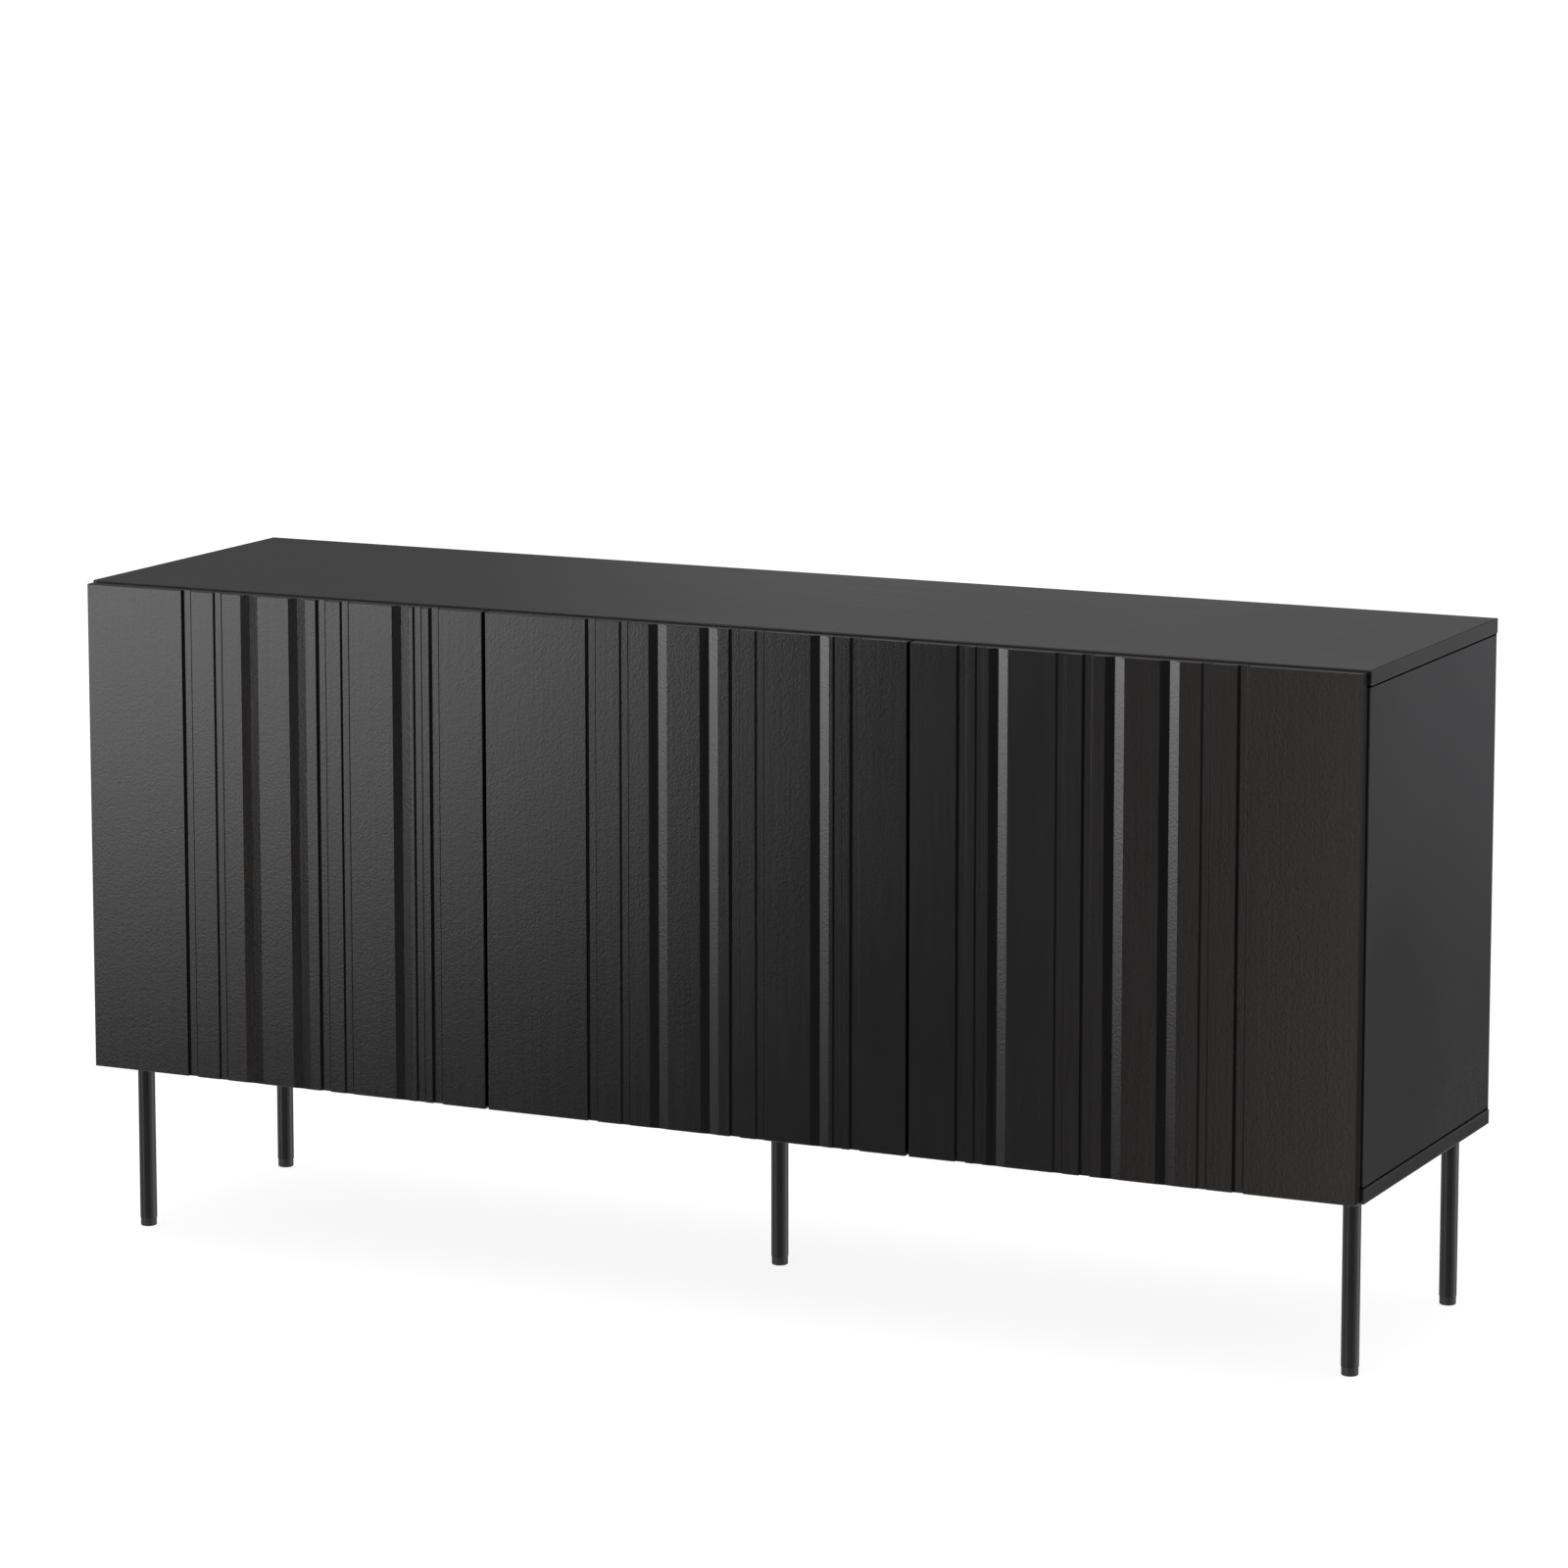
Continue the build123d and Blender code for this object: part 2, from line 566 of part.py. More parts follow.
def front_outline():
    """The milled front in plan as (u, v) points, from the free edge to the hinge edge."""
    face = DOOR_STANDOFF + DOOR_THICKNESS
    points = [(DOOR_WIDTH, face)]
    u = DOOR_WIDTH
    for land, cut in RELIEF:
        width, depth = CUTS[cut]
        u -= land
        if cut == "valley":
            points += [(u, face), (u - width / 2, face - depth), (u - width, face)]
        else:
            points += [(u, face), (u, face - depth), (u - width, face - depth), (u - width, face)]
        u -= width
    return points + [(0, face)]


def cup_spots(door, v):
    """Centres of a door's two hinge cups at one depth."""
    x, y = in_plan(door, CUP_FROM_EDGE, v)
    return [(x, y, z) for z in HINGE_HEIGHTS]


def cup_screw_spots(door):
    """Heads of a door's cup screws, on the flanges."""
    x, y = in_plan(door, CUP_FROM_EDGE + CUP_SCREW_OFFSET, DOOR_STANDOFF - CUP_FLANGE)
    reach = CUP_SCREW_SPREAD / 2
    return [(x, y, z + offset) for z in HINGE_HEIGHTS for offset in (-reach, reach)]


def strike_spot(door):
    """Middle of the strike plate's face, opposite the plunger."""
    return (latch_x(door), CARCASS_FRONT - DOOR_STANDOFF, PLUNGER_Z)


def door_panel(door):
    """A door with its milled relief and the recesses of its fittings."""
    front = front_outline()
    outline = [(0, DOOR_STANDOFF), (DOOR_WIDTH, DOOR_STANDOFF)] + front
    front_y = CARCASS_FRONT - DOOR_STANDOFF - DOOR_THICKNESS
    with BuildPart() as panel:
        with BuildSketch(Plane.XY.offset(DOOR_LOW)):
            with BuildLine():
                Polyline(*[in_plan(door, u, v) for u, v in outline], close=True)
            make_face()
            crests = vertices().filter_by(lambda vertex: same(vertex.Y, front_y))
            fillet(crests, RELIEF_ROUNDING)
        extrude(amount=DOOR_HIGH - DOOR_LOW)
        drill(cup_spots(door, DOOR_STANDOFF), FORWARD, CUP_RADIUS + FIT, CUP_DEPTH + FIT)
        screw_holes(cup_screw_spots(door), FORWARD, CUP_SCREW)
        drill([strike_spot(door)], FORWARD, STRIKE_RADIUS + FIT, STRIKE_THICKNESS + FIT)
    save(panel.part, f"{door}_door")


def hinge_cups(door):
    """The two cups in a door, each with its screwed flange."""
    _, side, _, _ = DOORS[door]
    with BuildPart() as cups:
        for centre in cup_spots(door, DOOR_STANDOFF - CUP_FLANGE):
            with BuildSketch(Plane(origin=centre, x_dir=(side, 0, 0), z_dir=FORWARD)):
                Circle(CUP_FLANGE_RADIUS)
                with Locations(
                    (CUP_SCREW_OFFSET, -CUP_SCREW_SPREAD / 2),
                    (CUP_SCREW_OFFSET, CUP_SCREW_SPREAD / 2),
                ):
                    Circle(CUP_EAR_RADIUS)
                make_hull()
            extrude(amount=CUP_FLANGE)
        rods(cup_spots(door, DOOR_STANDOFF), FORWARD, CUP_RADIUS, CUP_DEPTH)
        drill(
            cup_spots(door, DOOR_STANDOFF - CUP_FLANGE),
            FORWARD,
            CUP_RADIUS - CUP_WALL,
            CUP_FLANGE + CUP_DEPTH - CUP_WALL,
        )
        drill(
            pin_starts(door, CUP_PIVOT, CUP_PIN_LENGTH),
            UP,
            HINGE_PIN_RADIUS + FIT / 2,
            CUP_PIN_LENGTH,
        )
        screw_holes(cup_screw_spots(door), FORWARD, CUP_SCREW)
    save(cups.part, f"{door}_hinge_cups")

    with BuildPart() as cup_screws:
        screws(cup_screw_spots(door), FORWARD, CUP_SCREW)
    save(cup_screws.part, f"{door}_cup_screws")


def pin_starts(door, pivot, length):
    """Lower ends of the hinge pins on one pivot."""
    x, y = in_plan(door, *pivot)
    return [(x, y, z - length / 2) for z in HINGE_HEIGHTS]


def hinge_links(door):
    """The two bent links that carry a door, from arm pin to cup pin."""
    path = [in_plan(door, *point) for point in LINK_POINTS]
    with BuildPart() as links:
        for z in HINGE_HEIGHTS:
            with BuildSketch(Plane.XY.offset(z - LINK_WIDTH / 2)):
                with BuildLine():
                    FilletPolyline(*path, radius=LINK_BEND_RADIUS)
                trace(line_width=LINK_THICKNESS)
                with Locations(path[0]):
                    Circle(LINK_CUP_KNUCKLE)
                with Locations(path[-1]):
                    Circle(LINK_ARM_KNUCKLE)
                with Locations(path[0], path[-1]):
                    Circle(HINGE_PIN_RADIUS + HINGE_PIN_PLAY, mode=Mode.SUBTRACT)
            extrude(amount=LINK_WIDTH)
    save(links.part, f"{door}_hinge_links")


def arm_outline(door, web_inset, belly_drop):
    """Plan outline of a hinge arm, its web side moved in and its belly moved to the board."""
    edge_x, _, board_x, _ = DOORS[door]
    nose_u, nose_v = ARM_PIVOT
    board_u = abs(board_x - edge_x)
    bend_start, bend_end = ARM_BEND
    belly, web = board_u + ARM_TAIL[0] - belly_drop, board_u + ARM_TAIL[1] - web_inset
    nose_belly = nose_u - ARM_NOSE_RADIUS - belly_drop
    nose_web = nose_u + ARM_NOSE_RADIUS - web_inset
    return [
        in_plan(door, u, v)
        for u, v in (
            (nose_belly, nose_v),
            (nose_web, nose_v),
            (nose_web, -bend_start),
            (web, -bend_end),
            (web, -ARM_REACH),
            (belly, -ARM_REACH),
            (belly, -bend_end),
            (nose_belly, -bend_start),
        )
    ]


def hinge_arms(door):
    """The two cranked arms of a door's hinges, channels of sheet metal with a forked nose."""
    channel = ARM_WIDTH - 2 * ARM_SHEET
    slot = LINK_ARM_KNUCKLE + HINGE_PIN_RADIUS
    with BuildPart() as arms:
        for z in HINGE_HEIGHTS:
            with BuildSketch(Plane.XY.offset(z - ARM_WIDTH / 2)):
                with BuildLine():
                    Polyline(*arm_outline(door, 0, 0), close=True)
                make_face()
                with Locations(in_plan(door, *ARM_PIVOT)):
                    Circle(ARM_NOSE_RADIUS)
            extrude(amount=ARM_WIDTH)
            with BuildSketch(Plane.XY.offset(z - channel / 2)):
                with BuildLine():
                    Polyline(*arm_outline(door, ARM_SHEET, ARM_SHEET), close=True)
                make_face()
                with Locations(in_plan(door, *ARM_PIVOT)):
                    Circle(slot)
            extrude(amount=channel, mode=Mode.SUBTRACT)
        drill(pin_starts(door, ARM_PIVOT, ARM_WIDTH), UP, HINGE_PIN_RADIUS + FIT / 2, ARM_WIDTH)
    save(arms.part, f"{door}_hinge_arms")


def latch(door):
    """A push latch: housing under the top panel, plunger, and the strike plate in the door."""
    x = latch_x(door)
    width, length, height = LATCH_BODY
    ear_width, ear_depth, ear_thickness = LATCH_EAR
    tip_y = CARCASS_FRONT - DOOR_STANDOFF + PLUNGER_TIP_GAP
    with BuildPart() as housing:
        block(
            (x - width / 2, behind(LATCH_SETBACK), INNER_TOP - height),
            (x + width / 2, behind(LATCH_SETBACK + length), INNER_TOP),
        )
        fillet(edges().filter_by(Axis.Y).group_by(Axis.Z)[0], LATCH_ROUNDING)
        ear_y = behind(LATCH_EAR_SETBACK)
        block(
            (x - ear_width / 2, ear_y - ear_depth / 2, INNER_TOP - ear_thickness),
            (x + ear_width / 2, ear_y + ear_depth / 2, INNER_TOP),
        )
        drill(
            [(x, behind(LATCH_SETBACK), PLUNGER_Z)],
            BACKWARD,
            PLUNGER_RADIUS + PLUNGER_PLAY,
            PLUNGER_LENGTH,
        )
        own_screws = [s for s in latch_screw_spots() if abs(s[0] - x) < ear_width / 2]
        screw_holes(own_screws, UP, LATCH_SCREW)
    save(housing.part, f"{door}_latch_housing")

    with BuildPart() as plunger:
        rods([(x, tip_y, PLUNGER_Z)], BACKWARD, PLUNGER_RADIUS, PLUNGER_LENGTH)
        chamfer(edges().group_by(Axis.Y)[0], EDGE_ROUNDING)
    save(plunger.part, f"{door}_latch_plunger")

    with BuildPart() as strike:
        rods([strike_spot(door)], FORWARD, STRIKE_RADIUS, STRIKE_THICKNESS)
    save(strike.part, f"{door}_strike_plate")


for door_name in DOORS:
    door_panel(door_name)
    hinge_cups(door_name)
    hinge_links(door_name)
    hinge_arms(door_name)
    latch(door_name)
    with BuildPart() as cup_pins:
        rods(
            pin_starts(door_name, CUP_PIVOT, CUP_PIN_LENGTH),
            UP,
            HINGE_PIN_RADIUS,
            CUP_PIN_LENGTH,
        )
    save(cup_pins.part, f"{door_name}_cup_pins")

# Fittings that all hinges or latches share
with BuildPart() as arm_pins:
    for door_name in DOORS:
        rods(pin_starts(door_name, ARM_PIVOT, ARM_WIDTH), UP, HINGE_PIN_RADIUS, ARM_WIDTH)
save(arm_pins.part, "hinge_arm_pins")

with BuildPart() as mounting_plates:
    wing_depth, wing_height, wing_thickness = PLATE_WING
    for door_name, (_, side, board_x, _) in DOORS.items():
        rail_x = board_x + side * (ARM_TAIL[1] - ARM_SHEET)
        wing_x = board_x + side * wing_thickness
        for z in HINGE_HEIGHTS:
            near_x, far_x = sorted((board_x, rail_x))
            block(
                (near_x, behind(RAIL_SETBACKS[0]), z - RAIL_WIDTH / 2),
                (far_x, behind(RAIL_SETBACKS[1]), z + RAIL_WIDTH / 2),
            )
            near_x, far_x = sorted((board_x, wing_x))
            block(
                (near_x, behind(PLATE_SETBACK - wing_depth / 2), z - wing_height / 2),
                (far_x, behind(PLATE_SETBACK + wing_depth / 2), z + wing_height / 2),
            )
        screw_holes(plate_screw_spots(door_name), (-side, 0, 0), PLATE_SCREW)
save(mounting_plates.part, "hinge_mounting_plates")

with BuildPart() as plate_screws:
    for door_name, (_, side, _, _) in DOORS.items():
        screws(plate_screw_spots(door_name), (-side, 0, 0), PLATE_SCREW)
save(plate_screws.part, "hinge_plate_screws")

with BuildPart() as latch_screws:
    screws(latch_screw_spots(), UP, LATCH_SCREW)
save(latch_screws.part, "latch_screws")
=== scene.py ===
"""A black three-door sideboard on five slim legs: its finishes, a plain studio and the camera.

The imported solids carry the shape. Each of them is dressed here in a procedural finish, and the
studio around them is a pale floor in a dim room with soft bright patches. Lengths are metres in
the shared frame: the origin lies on the floor under the middle of the piece, +X runs right, +Y
back and +Z up.
"""

import logging
import math
from dataclasses import dataclass, field, replace
from enum import Enum
from typing import Union

import bmesh
import bpy
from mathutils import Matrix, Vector


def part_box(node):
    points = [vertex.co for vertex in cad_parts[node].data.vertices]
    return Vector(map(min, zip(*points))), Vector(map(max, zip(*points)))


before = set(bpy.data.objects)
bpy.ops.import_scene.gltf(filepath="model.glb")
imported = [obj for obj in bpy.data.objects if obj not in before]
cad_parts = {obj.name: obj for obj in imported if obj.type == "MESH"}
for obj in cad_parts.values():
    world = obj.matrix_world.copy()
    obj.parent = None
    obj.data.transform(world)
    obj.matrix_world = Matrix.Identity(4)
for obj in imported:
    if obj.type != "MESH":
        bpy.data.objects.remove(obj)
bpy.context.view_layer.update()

LOG = logging.getLogger("sideboard")

Point = tuple[float, float, float]
Colour = tuple[float, float, float]
Box = tuple[Vector, Vector]
MILLIMETRE = 0.001
DEGREES = math.degrees(1.0)
RIGHT_ANGLE = 90.0
WHITE = (1.0, 1.0, 1.0)


# ---------------------------------------------------------------- shader maths


class Signal:
    """A number on a shader socket that takes part in Python arithmetic."""

    def __init__(self, graph: "Graph", socket: bpy.types.NodeSocket) -> None:
        """Keeps the graph that owns the socket.

        Args:
            graph: The graph that new Math nodes are added to.
            socket: The output socket that holds the number.
        """
        self.graph = graph
        self.socket = socket

    def __add__(self, other: "Value") -> "Signal":
        """This number plus another."""
        return self.graph.math("ADD", self, other)

    def __sub__(self, other: "Value") -> "Signal":
        """This number minus another."""
        return self.graph.math("SUBTRACT", self, other)

    def __rsub__(self, other: "Value") -> "Signal":
        """Another number minus this one."""
        return self.graph.math("SUBTRACT", other, self)

    def __mul__(self, other: "Value") -> "Signal":
        """This number times another."""
        return self.graph.math("MULTIPLY", self, other)

    def __truediv__(self, other: "Value") -> "Signal":
        """This number divided by another."""
        return self.graph.math("DIVIDE", self, other)

    def __abs__(self) -> "Signal":
        """The size of this number without its sign."""
        return self.graph.math("ABSOLUTE", self)

    __radd__ = __add__


Value = Union[Signal, bpy.types.NodeSocket, float]

# Base colour, roughness and normal.
Look = tuple[Value, Value, Value]


@dataclass(frozen=True)
class Noise:
    """A cloudy noise: how many clouds lie in a metre, and how many finer layers it has."""

    per_metre: float
    detail: float = 2.0


class Graph:
    """The node graph of one material or world."""

    def __init__(self, tree: bpy.types.NodeTree) -> None:
        """Empties the tree, so that only nodes added here are in it.

        Args:
            tree: The node tree of a material or a world.
        """
        self.tree = tree
        tree.nodes.clear()

    def add(self, kind: str, settings: dict | None = None, **inputs: Value) -> bpy.types.Node:
        """Adds a node.

        Args:
            kind: The node's type without the leading ShaderNode.
            settings: The node's own properties, and the stops of a colour ramp under "stops".
            **inputs: A value or a link for each socket, by the socket's identifier with spaces
                as underscores.

        Returns:
            The new node.
        """
        node = self.tree.nodes.new("ShaderNode" + kind)
        for key, value in (settings or {}).items():
            if key == "stops":
                self._set_stops(node.color_ramp, value)
            else:
                setattr(node, key, value)
        sockets = {s.identifier.replace(" ", "_"): s for s in node.inputs}
        for key, value in inputs.items():
            self._feed(sockets[key], value)
        return node

    @staticmethod
    def _set_stops(ramp: bpy.types.ColorRamp, stops: list[tuple[float, Colour]]) -> None:
        """Gives a colour ramp these stops, as position and colour.

        Args:
            ramp: The colour ramp.
            stops: The position and colour of each stop.
        """
        while len(ramp.elements) < len(stops):
            ramp.elements.new(1.0)
        for element, (position, colour) in zip(ramp.elements, stops):
            element.position = position
            element.color = (*colour, 1.0)

    def _feed(self, socket: bpy.types.NodeSocket, value: Value) -> None:
        """Links a signal or a socket to an input, or sets its plain value.

        Args:
            socket: The input.
            value: The signal, the socket or the plain value.
        """
        if isinstance(value, Signal):
            value = value.socket
        if isinstance(value, bpy.types.NodeSocket):
            self.tree.links.new(value, socket)
        elif socket.type == "RGBA" and len(value) == 3:
            socket.default_value = (*value, 1.0)
        else:
            socket.default_value = value

    def math(self, operation: str, first: Value, second: Value | None = None) -> Signal:
        """Adds a Math node.

        Args:
            operation: The Math node's operation.
            first: Its first number.
            second: Its second number, where the operation takes two.

        Returns:
            The result.
        """
        inputs = {"Value": first} if second is None else {"Value": first, "Value_001": second}
        return self.signal(self.add("Math", {"operation": operation}, **inputs))

    def signal(self, node: bpy.types.Node, output: int = 0) -> Signal:
        """The number on one of a node's outputs."""
        return Signal(self, node.outputs[output])

    def blend(
        self, factor: Value, first: Value | Colour, second: Value | Colour
    ) -> bpy.types.NodeSocket:
        """A colour between two others.

        Args:
            factor: 0 for the first colour and 1 for the second.
            first: A colour or a colour socket.
            second: A colour or a colour socket.

        Returns:
            The mixed colour's socket.
        """
        inputs = {"Factor_Float": factor, "A_Color": first, "B_Color": second}
        return self.add("Mix", {"data_type": "RGBA"}, **inputs).outputs[2]

    def scaled(self, vector: Value, by: Point) -> bpy.types.NodeSocket:
        """A vector with each axis multiplied by its own number."""
        inputs = {"Vector": vector, "Vector_001": by}
        return self.add("VectorMath", {"operation": "MULTIPLY"}, **inputs).outputs[0]

    def along(self, vector: Value, axis: Point) -> Signal:
        """How far a vector goes along an axis."""
        inputs = {"Vector": vector, "Vector_001": axis}
        return self.signal(self.add("VectorMath", {"operation": "DOT_PRODUCT"}, **inputs), 1)

    def axis(self, vector: Value, number: int) -> Signal:
        """One of a vector's numbers: 0 for X, 1 for Y and 2 for Z."""
        return self.signal(self.add("SeparateXYZ", Vector=vector), number)

    def noise(self, where: Value, kind: Noise) -> Signal:
        """Noise between 0 and 1, around 0.5, read at a place in metres."""
        inputs = {"Vector": where, "Scale": kind.per_metre, "Detail": kind.detail}
        return self.signal(self.add("TexNoise", **inputs))

    def steps(
        self, value: Value, low: float, high: float, start: float = 0.0, end: float = 1.0
    ) -> Signal:
        """A smooth step.

        Args:
            value: The number that runs past the step.
            low: Where the step begins.
            high: Where it ends.
            start: The result before it.
            end: The result after it.

        Returns:
            The stepped number.
        """
        inputs = {"From_Min": low, "From_Max": high, "To_Min": start, "To_Max": end}
        settings = {"interpolation_type": "SMOOTHSTEP"}
        return self.signal(self.add("MapRange", settings, Value=value, **inputs))


# ------------------------------------------------------------------- finishes


class Grain(Enum):
    """The axis that a surface's fibres, strokes or drawing lines run along."""

    X = (0.04, 1.0, 1.0)
    Z = (1.0, 1.0, 0.04)


class Cut(Enum):
    """The kinds of cut in a door front, as a width and how far lacquer banks up in its corners."""

    DEEP = (0.012, 0.0025)
    SHALLOW = (0.0105, 0.0018)
    VALLEY = (0.0215, 0.0)


class Slot(Enum):
    """The finishes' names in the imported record."""

    CARCASS = "carcass_board"
    DOOR = "door_front"
    BACK = "back_board"
    LEG = "leg_metal"
    GLIDE = "glide_plastic"
    NICKEL = "nickel_steel"
    ZINC = "zinc_steel"
    BLACK_SCREW = "black_screw"
    BEECH = "beech_dowel"
    LATCH = "latch_plastic"
    PLUNGER = "plunger_plastic"


@dataclass(frozen=True)
class Finish:
    """What every finish has. A subclass says how its colour, gloss and relief vary."""

    name: str
    colour: Colour
    roughness: float
    metallic: float = 0.0
    specular: float = 0.5

    def material(self, box: Box | None = None) -> bpy.types.Material:
        """Makes the finish's material.

        Args:
            box: The lowest and highest corner of the piece, for a finish that changes near its
                edges.

        Returns:
            The material, ready for a mesh.
        """
        made = bpy.data.materials.new(self.name)
        made.use_nodes = True
        made.diffuse_color = (*self.colour, 1.0)
        graph = Graph(made.node_tree)
        place = graph.add("TexCoord").outputs["Object"]
        colour, roughness, normal = self.surface(graph, place, box)
        shader = graph.add(
            "BsdfPrincipled",
            Base_Color=colour,
            Roughness=roughness,
            Normal=normal,
            Metallic=self.metallic,
            Specular_IOR_Level=self.specular,
        )
        graph.add("OutputMaterial", Surface=self.shadowed_joints(graph, shader.outputs[0], place, box))
        return made

    def surface(self, graph: Graph, place: Value, box: Box | None) -> Look:
        """Works out the colour, roughness and normal over the surface.

        Args:
            graph: The material's graph.
            place: The position on the piece.
            box: The piece's corners, if it has edges to work from.

        Returns:
            Base colour, roughness and normal.
        """
        raise NotImplementedError

    def shadowed_joints(
        self, graph: Graph, shader: Value, place: Value, box: Box | None
    ) -> bpy.types.NodeSocket:
        """Lays any painted joint shadows over the shader. A finish has none unless it says so.

        Args:
            graph: The material's graph.
            shader: The finish's shader.
            place: The position on the piece.
            box: The piece's corners, if it has edges to work from.

        Returns:
            The shader with the painted shadow lines over it.
        """
        return shader

    def toned(self, graph: Graph, tone: Value, spread: float) -> bpy.types.NodeSocket:
        """The finish's colour, darker and lighter by a share as a tone runs from 0 to 1.

        Args:
            graph: The material's graph.
            tone: The tone, 0 for darkest and 1 for lightest.
            spread: The share of the colour that is taken off or put on.

        Returns:
            The toned colour.
        """
        dark = tuple(c * (1 - spread) for c in self.colour)
        light = tuple(c * (1 + spread) for c in self.colour)
        return graph.blend(tone, dark, light)

    @staticmethod
    def bumped(graph: Graph, height: Value, depth: float) -> bpy.types.NodeSocket:
        """A normal for a relief whose height of 1 stands this many metres proud."""
        return graph.add("Bump", Height=height, Distance=depth, Strength=1.0).outputs[0]


def edge_distance(graph: Graph, place: Value, box: Box) -> Signal:
    """How far a point on a boxy board lies from the nearest edge between two of its faces.

    Args:
        graph: The material's graph.
        place: The position on the board.
        box: The board's lowest and highest corner.

    Returns:
        The distance in metres. It is the middle one of the distances to the faces on each axis.
    """
    reach = []
    for number, (low, high) in enumerate(zip(*box)):
        middle, half = (low + high) / 2, (high - low) / 2
        reach.append(half - abs(graph.axis(place, number) - middle))
    nearer = graph.math("MINIMUM", reach[0], reach[1])
    farther = graph.math("MAXIMUM", reach[0], reach[1])
    return graph.math("MAXIMUM", nearer, graph.math("MINIMUM", farther, reach[2]))


@dataclass(frozen=True)
class BoardFoil(Finish):
    """Matt foil on board, with a pearled texture, a faint cast, edge bands and eased edges.

    A board that stands between two others has a painted shadow line at its upper and lower end,
    the shade of its joints.
    Mottle, streaking and polish say how far the roughness follows clouds, streaks and rims.
    """

    grain: Grain = Grain.X
    streaks: Noise = Noise(140.0, 3.0)
    clouds: Noise = Noise(3.2, 3.0)
    pearls: Noise = Noise(1100.0)
    cast: float = 0.22
    cloud_share: float = 0.6
    mottle: float = 0.10
    streaking: float = 0.06
    polish: float = 0.04
    pearl: float = 0.00003
    streak_depth: float = 0.5
    band: float = 0.0010
    seam: float = 0.00018
    seam_strength: float = 0.6
    seam_colour: Colour = (0.003, 0.003, 0.003)
    ease: float = 0.0016
    ease_drop: float = 0.0007
    # Painted joint shadow: how far it reaches from each end, how softly it fades, and its colour.
    joint: float = 0.0
    shadow_fade: float = 1.3
    shadow_colour: Colour = (0.001, 0.001, 0.001)

    def surface(self, graph: Graph, place: Value, box: Box | None) -> Look:
        """Pearls all over, long faint streaks, and a hairline seam where the edge band starts.

        Args:
            graph: The material's graph.
            place: The position on the board.
            box: The board's lowest and highest corner.

        Returns:
            Base colour, roughness and normal.
        """
        streaks = graph.noise(graph.scaled(place, self.grain.value), self.streaks)
        clouds = graph.noise(place, self.clouds)
        pearls = graph.noise(place, self.pearls)
        edge = edge_distance(graph, place, box)
        seam = graph.steps(abs(edge - self.band), 0.0, self.seam, 1.0, 0.0)
        rim = graph.steps(edge, 0.0, self.band, 1.0, 0.0)
        tone = clouds * self.cloud_share + streaks * (1 - self.cloud_share)
        foil = self.toned(graph, tone, self.cast)
        colour = graph.blend(seam * self.seam_strength, foil, self.seam_colour)
        dullness = (clouds - 0.5) * self.mottle + (streaks - 0.5) * self.streaking
        roughness = self.roughness + dullness - rim * self.polish
        relief = pearls + streaks * self.streak_depth - seam - self._eased(graph, place, box, edge)
        return colour, roughness, self.bumped(graph, relief, self.pearl)

    def _eased(self, graph: Graph, place: Value, box: Box, edge: Signal) -> Signal:
        """How far the foil falls away at the upper edges, in pearls.

        Args:
            graph: The material's graph.
            place: The position on the board.
            box: The board's lowest and highest corner.
            edge: The distance to the nearest edge.

        Returns:
            The fall, 0 away from the edges.
        """
        height, foot = graph.axis(place, 2), box[0].z
        upper = graph.steps(height, foot, foot + 2 * self.ease)
        return graph.steps(edge, 0.0, self.ease, 1.0, 0.0) * upper * (self.ease_drop / self.pearl)

    def shadowed_joints(
        self, graph: Graph, shader: Value, place: Value, box: Box | None
    ) -> bpy.types.NodeSocket:
        """Lays a painted shadow over the board's ends, where they meet the boards above and below.

        Args:
            graph: The material's graph.
            shader: The foil's shader.
            place: The position on the board.
            box: The board's lowest and highest corner.

        Returns:
            The shader with the painted shadow lines over it, or as it was if the board has none.
        """
        if not self.joint:
            return shader
        middle, half = (box[0].z + box[1].z) / 2, (box[1].z - box[0].z) / 2
        reach = half - abs(graph.axis(place, 2) - middle)
        line = graph.steps(reach, self.joint, self.shadow_fade * self.joint, 1.0, 0.0)
        # Painted shade: a black, unglossy shader mixed in near the ends, where the joint's shadow
        # falls.
        shade = {"Base_Color": self.shadow_colour, "Roughness": 1.0, "Specular_IOR_Level": 0.0}
        dark = graph.add("BsdfPrincipled", **shade).outputs[0]
        return graph.add("MixShader", Fac=line, Shader=shader, Shader_001=dark).outputs[0]


